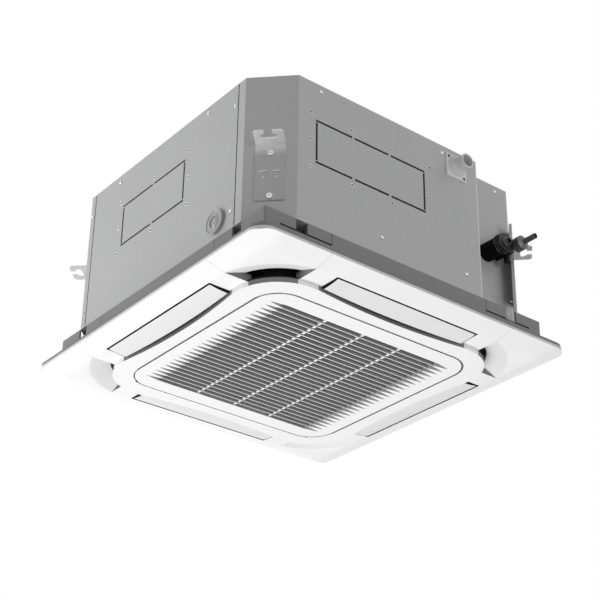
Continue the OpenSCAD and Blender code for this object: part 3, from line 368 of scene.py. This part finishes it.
def strips(name, places, thickness, corner, finish):
    """Flat strips on the walls: each has a middle, a width along the wall, a height, and the
    direction that its wall faces. Their corners are cut round."""
    steps = 4
    form = bmesh.new()
    for middle, width, height, way in places:
        along = Vector((0, 0, 1)).cross(way)
        edge = []
        for k, (u, v) in enumerate(((1, 1), (-1, 1), (-1, -1), (1, -1))):
            for step in range(steps + 1):
                turn = (k + step / steps) * pi / 2
                out = u * (width / 2 - corner) + corner * cos(turn)
                rise = v * (height / 2 - corner) + corner * sin(turn)
                edge.append(middle + along * out / 1000 + Vector((0, 0, rise)) / 1000)
        face = form.faces.new([form.verts.new(p) for p in edge])
        back = bmesh.ops.extrude_face_region(form, geom=[face])["geom"]
        bmesh.ops.translate(form, vec=way * (-thickness / 1000), verts=[
            v for v in back if isinstance(v, bmesh.types.BMVert)])
    bmesh.ops.recalc_face_normals(form, faces=form.faces)
    data = bpy.data.meshes.new(name)
    form.to_mesh(data)
    form.free()
    shown(bpy.data.objects.new(name, data), [finish], "base")


behind, sheet_middle = wall - 1.4, 197.5
right_seam, left_seam, tape_middle = 208.5, -213, 209
# Painted shade: black strips behind the seams and the duct blanks, which darken the gaps.
strips("seam_shade_backing", [
    (at(right_seam, -behind, tape_middle), 14, 220, south),
    (at(left_seam, -behind, tape_middle), 14, 220, south),
    (at(behind, 151, tape_middle), 5, 220, east),
    (at(-behind, 226, tape_middle), 12, 220, west),
    (at(front_blank[0], -behind, blank_middle), 200, 96, south),
    (at(behind, right_blank[0], blank_middle), 242, 96, east)],
    thickness=2.5, corner=2, finish=foam_and_shade)
# Painted shadow: a thin black strip along each of the two front seams.
strips("seam_painted_shadow", [
    (at(right_seam, -wall - 0.2, sheet_middle), 1.7, 257, south),
    (at(left_seam, -wall - 0.2, sheet_middle), 1.5, 257, south)],
    thickness=0.4, corner=0.5, finish=foam_and_shade)
# The strips on the folds at the pipe recess are near white: a painted highlight along the
# sheet's edges.
hem_highlight = Finish("sheet_hem", metallic=0.2, roughness=0.35)
hem_highlight.feed(base_color=hem_highlight.blend(hem_highlight.grain(0.01), grey(240), grey(250)))
strips("sheet_hem_highlights", [
    (at(wall + 0.25, 152.6, sheet_middle), 1.6, 259, east),
    (at(recess_wall + 0.25, 258.2, sheet_middle), 1.2, 259, east)],
    thickness=0.5, corner=0.4, finish=hem_highlight)


# Hanger brackets
# Pressed steel brackets with bright zinc plating, each held by two screws with cross recesses.
# The ear is painted near white, a painted highlight for the light on it, and two small lances
# and nibs are pressed into the plate.
bracket_steel = Finish("bracket_steel", roughness=0.42)
# Painted highlight: from 20 mm below the ears' underside up to the ear, the colour turns from
# the plate's grey to near white, and a little more metallic.
ear_painted_light = bracket_steel.axes[2].within(-0.02, -0.002)
bracket_steel.feed(
    base_color=bracket_steel.blend(
        ear_painted_light, bracket_steel.blend(bracket_steel.grain(0.02, 3), grey(192), grey(200)),
        grey(254)),
    metallic=ear_painted_light * 0.2 + 0.12,
    normal=bracket_steel.bump(bracket_steel.grain(0.0008, 3), 0.00001))
corner_names = ["front_right", "front_left", "back_left", "back_right"]
softened(["bracket_" + c for c in corner_names], [bracket_steel], rounded=(60, 180, 0.4),
         flat=True)
softened(["bracket_screws"], [bright])

corner_cut, plate_thickness = 58.5, 2
plate_out = (2 * wall - corner_cut) / 2 ** 0.5 + plate_thickness
lance_height, nib_height, beside_middle = 151.2, 141, 10
lances, nibs = [], []
for quarter in range(4):
    turn = radians(quarter * 90 - 45)
    way, along = Vector((cos(turn), sin(turn), 0)), Vector((-sin(turn), cos(turn), 0))
    for side in (-1, 1):
        spot = way * plate_out + along * side * beside_middle
        lances.append((at(spot.x, spot.y, lance_height), along))
        nibs.append((at(spot.x, spot.y, nib_height), way))
nib = Pattern("plate_nibs", radius=0.0013, height=0.0008)
nib.laid(nib.ball(12, 8, nib.size("radius"), nib.size("radius"), nib.size("height")), bright)
nib.make("plate_nibs", nibs, "base", "bracket_steel")
lance = Pattern("plate_lances", length=0.0075, thickness=0.0014)
lance.laid(lance.ball(20, 12, lance.size("thickness"), lance.size("thickness"),
                      lance.size("length")), bright)
lance.make("plate_lances", lances, "base", "bracket_steel")


# Gland and drain spigot
# Moulded plastic fittings: a round cable gland low on the front wall, and the drain spigot high
# on the right wall. Its square flange has screws in two corners and open bores in the others.
pale = Finish("pale_plastic", roughness=0.45)
pale.feed(base_color=pale.blend(pale.grain(0.01), grey(246), grey(252)),
          normal=pale.bump(pale.grain(0.0005), 0.00001))
softened(["drain_port"], [pale])
gland_grey = Finish("gland_plastic", roughness=0.2)
gland_grey.feed(base_color=gland_grey.blend(gland_grey.grain(0.01), grey(188), grey(196)))
softened(["gland"], [gland_grey])
gland_rings = Pattern("gland_rings", outer=0.0197, inner=0.0108, thickness=0.0011,
                      bulge=0.003, sunk=-0.0022)
bead = gland_rings.circle("thickness", 10)
lens_radius = gland_rings.size("inner")
lens = gland_rings.ball(32, 12, lens_radius, lens_radius, gland_rings.size("bulge"),
                        by=gland_rings.vector(0, 0, gland_rings.size("sunk")))
hoops = [gland_rings.bar(gland_rings.circle(key, 40), bead) for key in ("outer", "inner")]
gland_rings.laid(gland_rings.add("GeometryNodeJoinGeometry", {}, {0: hoops + [lens]}),
                 gland_grey)
gland_along, gland_height, gland_out = 162, 95, 3.8
gland_rings.make("gland_rings", [(at(gland_along, -wall - gland_out, gland_height), south)],
                 "base", "grey_plastic")

flange_along, flange_height, flange_out, screw_in = 104.5, 294.5, 3, 16.5


def flange_corner(a, b):
    """A corner of the drain flange: a and b are -1 or 1, along the wall and up it."""
    return at(wall + flange_out, flange_along + screw_in * a, flange_height + screw_in * b), east


screw_heads.make("drain_screws", [flange_corner(-1, -1), flange_corner(1, 1)],
                 "base", "screw_steel", radius=0.0028, height=0.0016)
# Black discs in the two open bores are painted shade.
bore_shade.make("drain_bore_shade", [flange_corner(-1, 1), flange_corner(1, -1)],
           "base", "black_foam", radius=0.0024)


# Refrigerant pipe ends
# Black closed-cell foam round the roots of the pipes, black flare nuts with a thin brass edge,
# and dull grey unions and stubs.
dull = Finish("dull_metal", metallic=0.6)
dull.feed(base_color=dull.blend(dull.grain(0.006, 4), grey(92), grey(122)),
          roughness=dull.grain(0.003) * 0.2 + 0.3)
softened(["gas_pipe", "liquid_pipe"], [dull], rounded=(60, 180, 0.3))
black_nut = Finish("black_nut", roughness=0.5)
black_nut.feed(base_color=black_nut.blend(black_nut.grain(0.004), grey(24), grey(42)),
               normal=black_nut.bump(black_nut.grain(0.0008), 0.00003))
softened(["gas_nut", "liquid_nut"], [black_nut])
softened(["pipe_foam", "duct_seal"], [foam_and_shade], rounded=(60, 180, 0.8))
brass = Finish("brass_edge", metallic=0.8, roughness=0.35)
brass.feed(base_color=brass.blend(brass.grain(0.002), (0.22, 0.13, 0.06), (0.34, 0.2, 0.09)))
washers = Pattern("brass_washers", radius=0.0155, thickness=0.0011)
washers.laid(washers.bar(washers.circle("radius", 40), washers.circle("thickness", 10)), brass)
recess_start, casing_bottom = 153.5, 66.5
gas_along, gas_up, washer_out = 48.2, 116.3, 35
washers.make("gas_washer", [(at(recess_wall + washer_out, recess_start + gas_along,
                                casing_bottom + gas_up), east)], "base", "pipe_metal")


# Upstand and ceiling gasket
# Grey moulded upstand and flange that carry the ceiling panel, and the grey foam band that
# presses on the ceiling board.
def spans(p):
    """How far a point lies from the two middle planes of the unit, the smaller first."""
    return sorted((abs(p.x), abs(p.y)))


def shadow_gap(p, way):
    """The groove under the corner blocks is painted black inside: painted shade."""
    groove_low, groove_high, groove_in, groove_out = 45, 47.6, 283, 285
    return groove_low < p.z < groove_high and groove_in < spans(p)[1] < groove_out


dusk = Finish("grey_moulding", roughness=0.55)
dusk.feed(base_color=dusk.blend(dusk.grain(0.05, 3), grey(146), grey(154)),
          normal=dusk.bump(dusk.grain(0.0006), 0.00001))
softened(["panel_upstand"], [dusk, foam_and_shade], lined=shadow_gap)
band = Finish("grey_foam_band", roughness=0.85)
band.feed(base_color=band.blend(band.grain(0.002), grey(146), grey(160)),
          normal=band.bump(band.grain(0.0012), 0.00012))
softened(["ceiling_gasket"], [band], rounded=(60, 180, 0.8))


# White panel, covers and centre ring
# The white moulded ceiling panel in fine matt plastic, its four corner covers, and the raised
# ring round the grille. Black linings in the air outlets, round the louvers and inside the ring,
# and grey on the ring's sides, beside the outlets and on the outlet cones, are painted shade.
white = Finish("white_plastic", roughness=0.4)
white.feed(base_color=white.blend(white.grain(0.1, 3), grey(241), grey(245)),
           normal=white.bump(white.grain(0.0005, 2), 0.000006))
# Painted shade: a mid grey for the ring's sides and the walls beside the outlets, which are the
# panel's white plastic.
ring_side = Finish("ring_side", roughness=0.6)
ring_side.feed(base_color=ring_side.blend(ring_side.grain(0.02), grey(124), grey(132)),
               normal=ring_side.bump(ring_side.grain(0.0006), 0.00001))
# Painted shade: the cones of the corner outlets are a little greyer than the white panel.
outlet_white = Finish("outlet_white", roughness=0.5)
outlet_white.feed(base_color=outlet_white.blend(outlet_white.grain(0.02), grey(226), grey(231)),
                  normal=outlet_white.bump(outlet_white.grain(0.0006), 0.00001))
cover_seam, louver_bay, outlet_side, panel_slope = 184, 150, 225, 283
ring_arc, ring_arc_middle = 82, 160.5


def outlet_walls(p, way):
    """White outside; black in the louver bays and round the ring and grey beside the outlets,
    both painted shade.
    """
    low, high = spans(p)
    if abs(way.z) > 0.5 or high > panel_slope or p.z < 0.1 and low < louver_bay:
        return 0
    arc = ((low - ring_arc_middle) ** 2 + (high - ring_arc_middle) ** 2) ** 0.5
    if low < louver_bay or abs(arc - ring_arc) < 2:
        return 1 if high > cover_seam + 1 else 0
    return 2 if cover_seam - 3 < low < cover_seam + 4 and high > outlet_side else 0


softened(["panel_frame"], [white, foam_and_shade, ring_side], rounded=(10.5, 30, 8), flat=True,
         lined=outlet_walls)

# The fold from a cover's flat face to its sloped edge is shaded as one curve, fold_width wide.
# Faces nearer than crown_from to a middle at crown_middle keep their plain shading. The outlet's
# own middle is at 154, so the curve is shaded only on the outermost part of the cover.
fold_in, fold_width, edge_slope = 262, 36, 0.267
crown_middle, crown_from = 185, 129.8
fold_cuts = (262, 268, 274, 286, 292, 298)
rim_top, soft_fold = 14, 34


def crown_shading(p, face):
    """The way that the crown faces at a point, or None where a face keeps its own shading."""
    middle = from_face(face.center)
    reach = ((abs(middle.x) - crown_middle) ** 2 + (abs(middle.y) - crown_middle) ** 2) ** 0.5
    if face.normal.z > -0.9 or reach < crown_from:
        return None
    shares = [min(max((abs(u) - fold_in) / fold_width, 0), 1) for u in (p.x, p.y)]
    lean = [edge_slope * t * t * (3 - 2 * t) * (1 if u > 0 else -1) for t, u in zip(shares, p)]
    steep = max(1, (lean[0] ** 2 + lean[1] ** 2) ** 0.5 / edge_slope)
    return Vector((lean[0] / steep, lean[1] / steep, -1)).normalized()


def outlet_slope(p, way):
    """Picks the cone of a corner outlet, steeper than the panel's sloped edge, for painted
    shade.
    """
    return -0.955 < way.z < -0.3


def cover_creases(p):
    """Above the rim edges stay sharp, and below it the folds are shaded soft."""
    return crease if p.z > rim_top else soft_fold


crown_cuts = [(Vector((side * reach / 1000, side * reach / 1000, 0)), way)
              for side in (1, -1) for reach in fold_cuts for way in (east, north)]
softened(["cover_" + c for c in corner_names], [white, outlet_white], cuts=crown_cuts,
         crown=crown_shading, lined=outlet_slope, creased=cover_creases)

ring_inside, ring_inside_corner, ring_ends = 209, 392, (146, 186)


def ring_faces(p, way):
    """White on the face and the ends of each side; black inside and grey round the outside, both
    painted shade.
    """
    low, high = spans(p)
    if abs(way.z) > 0.5 or ring_ends[0] < low < ring_ends[1] and high > ring_inside:
        return 0
    return 1 if high < ring_inside and low + high < ring_inside_corner else 2


softened(["centre_ring"], [white, foam_and_shade, ring_side], lined=ring_faces)

# Painted shade: a flat black bead in the gap between the ring and the grille darkens that seam.
seam_bead_shade = Pattern("grille_seal", width=0.4178, corner=0.0499, bead=0.0006)
loop = seam_bead_shade.add("GeometryNodeFilletCurve", {"mode": "POLY"}, {
    "Curve": seam_bead_shade.add("GeometryNodeCurvePrimitiveQuadrilateral", {}, {
        "Width": seam_bead_shade.size("width"), "Height": seam_bead_shade.size("width")}),
    "Count": 16, "Radius": seam_bead_shade.size("corner")})
flattened = (1, 1, 0.045)
seam_bead_shade.laid(seam_bead_shade.moved(seam_bead_shade.bar(loop, seam_bead_shade.circle("bead", 8)), scale=flattened), foam_and_shade)
ring_drop, seam_bead_end = 8, -160
seam_bead_piece = seam_bead_shade.make("grille_seal", [(at(0, 0, -ring_drop), Vector((0, 0, -1)))], "base",
                       "black_foam")
# It stops short of the hinge side, where the grille swings past the ring.
form = bmesh.new()
form.from_mesh(seam_bead_piece.data)
bmesh.ops.bisect_plane(form, geom=form.verts[:] + form.edges[:] + form.faces[:],
                       plane_co=at(seam_bead_end, 0, 0), plane_no=east, clear_inner=True)
bmesh.ops.holes_fill(form, edges=form.edges, sides=12)
form.to_mesh(seam_bead_piece.data)
form.free()


# Louvers
# Thin moulded blades in a slightly greyer white than the panel, on pins at both ends, and
# their small stepping motors. Black at the ends and the outer edge of each blade is painted
# shade for the seams round it.
blade = Finish("louver_plastic", roughness=0.36)
blade.feed(base_color=blade.blend(blade.grain(0.05), grey(226), grey(233)),
           normal=blade.bump(blade.grain(0.0006, 2), 0.00001))
blade_end, blade_edge = 140.8, 276.9


def blade_faces(p, way):
    """Black beyond the cuts at the ends and the outer edge, painted shade for the seams; white
    between them.
    """
    low, high = spans(p)
    return low > blade_end or high > blade_edge


for name, way in (("front", south), ("right", east), ("back", north), ("left", west)):
    along = Vector((-way.y, way.x, 0))
    softened(["louver_" + name], [blade, foam_and_shade], lined=blade_faces,
             cuts=[(way * (blade_edge / 1000), way), (along * (blade_end / 1000), along),
                   (along * (-blade_end / 1000), along)])
softened(["louver_motors"], [pale])


# Grille
# One white moulding with leaning slats, its hinge and latches, and behind it the filter: a net
# in a frame. The grey between the slats, the black on the grille's outer side and the near black
# of the filter are painted shade.
slat_painted_shade = Finish("slat_plastic", roughness=0.55)
slat_painted_shade.feed(base_color=slat_painted_shade.blend(slat_painted_shade.grain(0.03), grey(196), grey(202)),
                normal=slat_painted_shade.bump(slat_painted_shade.grain(0.0005), 0.000008))
grille_edge, grille_corner = 205, 383
slots_wide, slots_long, open_long, face_low = 176, 186, 157.2, -7.95
rib_pitch, rib_half, ribs_long, rib_low, rib_high = 76.5, 2.4, 100, -7, -5


def slat_faces(p, way):
    """Black on the grille's outer side and grey between the slats, both painted shade; white on
    its face and ribs.
    """
    low, high = spans(p)
    if high > grille_edge or low + high > grille_corner:
        return 2 if abs(way.z) < 0.5 else 0
    from_rib = abs((p.y + rib_pitch / 2) % rib_pitch - rib_pitch / 2)
    rib = way.z < -0.5 and rib_low < p.z < rib_high and from_rib < rib_half
    slots = abs(p.x) < slots_wide and abs(p.y) < slots_long
    sunk = p.z > face_low or abs(p.y) < open_long
    return 1 if slots and sunk and not (rib and abs(p.y) < ribs_long) else 0


softened(["grille"], [white, slat_painted_shade, foam_and_shade], lined=slat_faces)
softened(["hinge_brackets", "latch_housings", "latch_left", "latch_right"], [white])
softened(["hinge_pins", "fan_shaft"], [bright])
# Painted shade: the filter frame and net are near black, for the shade behind the slots; the
# net's weave is its own pattern.
filter_grey = Finish("filter_plastic", roughness=0.6)
filter_grey.feed(base_color=filter_grey.blend(filter_grey.grain(0.01), grey(40), grey(50)))
softened(["filter_frame"], [filter_grey])
net = Finish("filter_net", roughness=0.8)
half_mesh = 0.0009
threads = [net.add("ShaderNodeMath", {"operation": "PINGPONG"}, {0: axis, 1: half_mesh})
           / half_mesh for axis in net.axes[:2]]
weave = threads[0].maths("MAXIMUM", threads[0], threads[1])
net.feed(base_color=net.blend(weave.within(0.55, 0.8), grey(18), grey(46)),
         normal=net.bump(weave, 0.0002))
softened(["filter_mesh"], [net])


# Inside the casing
# Moulded drain pan, pump, float, fan and bell mouth, a copper and aluminium coil that goes
# round the fan, the painted motor on its rubber feet, and a control box of zinc-coated sheet.
ivory = Finish("ivory_plastic", roughness=0.5)
ivory.feed(base_color=ivory.blend(ivory.grain(0.03), grey(206, 0.03), grey(220, 0.02)),
           normal=ivory.bump(ivory.grain(0.0008), 0.00002))
softened(["drain_pan", "drain_pump", "float_ball", "turbo_fan", "fan_shroud", "bell_mouth"],
         [ivory])
dark = Finish("dark_plastic", roughness=0.55)
dark.feed(base_color=dark.blend(dark.grain(0.004), grey(40), grey(58)),
          normal=dark.bump(dark.grain(0.001), 0.00002))
softened(["drain_hose", "float_stem", "motor_feet"], [dark])
copper = Finish("copper_tube", metallic=1.0, roughness=0.3)
copper.feed(base_color=copper.blend(copper.grain(0.01), (0.5, 0.2, 0.1), (0.72, 0.34, 0.2)))
softened(["coil_headers"], [copper])
motor = Finish("motor_paint", metallic=0.3, roughness=0.4)
motor.feed(base_color=motor.blend(motor.grain(0.01), grey(66), grey(86)))
softened(["fan_motor"], [motor], rounded=(60, 180, 1.0))
softened(["coil_plates", "control_box", "control_lid"], [zinc])

aluminium = Finish("fin_aluminium", metallic=0.8)
aluminium.feed(base_color=aluminium.blend(aluminium.grain(0.02), grey(196), grey(216)),
               roughness=aluminium.grain(0.01) * 0.15 + 0.3)
# Distance of the coil's outer side from the middle, radius of its bends, depth, where it stops
# at the open corner, and the margin there.
coil_out, coil_turn, coil_deep, coil_gap, coil_margin = 232, 60, 27, 150, 2
coil_bottom, fin_height, fin_pitch = 76, 165, 2.6
straight, bend = coil_out - coil_turn, coil_turn - coil_deep / 2
fin_places = []


def fin(place, turn):
    fin_places.append((at(place.x, place.y, coil_bottom + fin_height / 2),
                       Vector((cos(turn), sin(turn), 0))))


for quarter in range(4):
    spin = Matrix.Rotation(quarter * pi / 2, 3, "Z")
    flat_from = coil_margin - coil_gap if quarter == 1 else -straight
    flat_to = coil_gap - coil_margin if quarter == 0 else straight
    steps = int((flat_to - flat_from) / fin_pitch)
    for k in range(steps + 1):
        fin(spin @ Vector((coil_out - coil_deep / 2, flat_from + k * fin_pitch, 0)),
            quarter * pi / 2)
    if quarter:
        turns = int(bend * pi / 2 / fin_pitch)
        for k in range(1, turns):
            angle = -k / turns * pi / 2
            fin(spin @ Vector((straight + bend * cos(angle), -straight + bend * sin(angle), 0)),
                quarter * pi / 2 + angle)
fins = Pattern("coil_fins", depth=coil_deep / 1000, thickness=0.0002, height=fin_height / 1000)
fins.laid(fins.add("GeometryNodeMeshCube", {}, {"Size": fins.vector(
    fins.size("depth"), fins.size("thickness"), fins.size("height"))}), aluminium, "X")
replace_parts(fins.make("coil_fin_rows", fin_places, "base", "fins"), "coil_fins")


# Floor, light and camera
# The unit hangs in the air over a pale floor, lit from both sides and from below, and seen
# against white.
floor_z = -2.9
bpy.ops.mesh.primitive_plane_add(size=40, location=(0, 0, floor_z))
floor = bpy.context.object
floor.name = "floor"
ground = Finish("floor_paint", roughness=0.9)
ground.feed(base_color=ground.blend(ground.grain(0.3), grey(236), grey(240)))
floor.data.materials.append(ground.material)

world = bpy.data.worlds.new("studio")
bpy.context.scene.world = world
world.use_nodes = True
sky = Tree(world.node_tree)
backdrop = world.node_tree.nodes["Background"]
backdrop.inputs["Color"].default_value = (1, 1, 1, 1)
seen = [sky.add("ShaderNodeLightPath", out=k) for k in (
    "Is Camera Ray", "Is Glossy Ray", "Is Transmission Ray")]
shown_white = seen[0].maths("MAXIMUM", seen[0].maths("MAXIMUM", seen[0], seen[1]), seen[2])
ambient = 0.22
world.node_tree.links.new((shown_white * (1 - ambient) + ambient).socket,
                          backdrop.inputs["Strength"])
lit_middle = Vector((0, 0, -0.05))


def lamp(name, toward, distance, size, power):
    """A square soft lamp in that direction from the unit, turned to face it."""
    data = bpy.data.lights.new(name, "AREA")
    data.shape, data.size, data.energy = "SQUARE", size, power
    light = bpy.data.objects.new(name, data)
    aim = Vector(toward).normalized()
    light.location = lit_middle + aim * distance
    light.rotation_euler = aim.to_track_quat("Z", "Y").to_euler()
    light.visible_camera = False
    bpy.context.scene.collection.objects.link(light)


lamp("key_lamp", toward=(-0.4, -0.5, -0.77), distance=3.0, size=1.6, power=18)
lamp("front_lamp", toward=(-0.72, -0.69, -0.05), distance=3.4, size=1.6, power=46)
lamp("right_lamp", toward=(0.97, 0.12, -0.15), distance=3.4, size=1.6, power=20)
lamp("low_lamp", toward=(-0.1, -0.1, -1), distance=2.6, size=1.8, power=42)

# Solved from the corners of the casing, the panel and the grille in the photograph.
eye = (1.7485, -1.3658, -1.2702)
look = Vector((-0.6924, 0.5429, 0.4752)).normalized()
side = look.cross(Vector((0.3647, -0.3048, 0.8798)).normalized()).normalized()
camera_data = bpy.data.cameras.new("camera")
camera_data.sensor_width = 36
camera_data.lens = 88.997
camera = bpy.data.objects.new("camera", camera_data)
camera.matrix_world = Matrix.Translation(eye) @ Matrix(
    (side, side.cross(look), -look)).transposed().to_4x4()
bpy.context.scene.collection.objects.link(camera)
bpy.context.scene.camera = camera
bpy.context.scene.view_settings.view_transform = "Standard"
